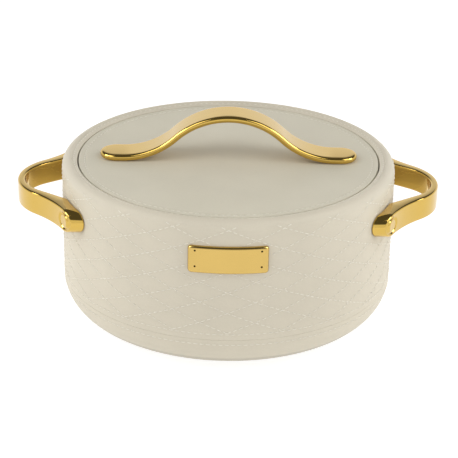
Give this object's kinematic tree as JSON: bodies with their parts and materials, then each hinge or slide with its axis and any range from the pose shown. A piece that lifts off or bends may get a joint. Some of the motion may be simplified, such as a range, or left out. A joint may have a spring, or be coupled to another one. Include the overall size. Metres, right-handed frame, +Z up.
{
  "type": "insulated serving pot",
  "caption": "Round insulated serving pot covered in quilted leather, with a sunk lift-off lid, bow handles on the lid and both sides, and a blank name plate.",
  "frame": {"origin": "centre of the pot's round footprint, on the surface that its feet stand on", "axes": "+Z up along the pot's axis, the side handles along X, the name plate on the front at -Y"},
  "size_m": [0.3564, 0.2828, 0.1738],
  "materials": {
    "leather": "fine-grained cream leather, sewn",
    "lid_leather": "fine-grained grey-cream leather, sewn",
    "gold": "polished gold plating",
    "steel": "satin stainless steel",
    "plastic": "matte moulded plastic",
    "foam": "closed-cell foam",
    "rubber": "matte rubber",
    "silicone": "translucent white silicone",
    "board": "raw fibreboard"
  },
  "bodies": {
    "pot": {"outer_shell": "plastic", "rim_ring": "plastic", "inner_bowl": "steel", "insulation_foam": "foam", "wall_cover": "leather", "rim_cover": "leather", "base_band": "leather", "base_plate": "plastic", "foot_front_left": "rubber", "foot_front_right": "rubber", "foot_rear_left": "rubber", "foot_rear_right": "rubber", "base_screws": "steel", "side_handle_left": "gold", "side_handle_right": "gold", "side_handle_screws": "steel", "side_handle_washers": "steel", "name_plate": "gold", "name_plate_pins": "gold"},
    "seal": {"lid_seal": "silicone"},
    "lid": {"lid_board": "board", "lid_cover": "lid_leather", "lid_pan": "steel", "lid_insulation": "foam", "lid_handle": "gold", "lid_handle_screws": "steel", "lid_handle_washers": "steel"}
  },
  "joints": [
    {"name": "lid_turn", "type": "hinge", "parent": "pot", "child": "seal", "pos_m": [0, 0, 0.12], "axis": [0, 0, 1], "continuous": true},
    {"name": "lid_lift", "type": "slide", "parent": "seal", "child": "lid", "axis": [0, 0, 1], "range_m": [0, 0.15]}
  ]
}
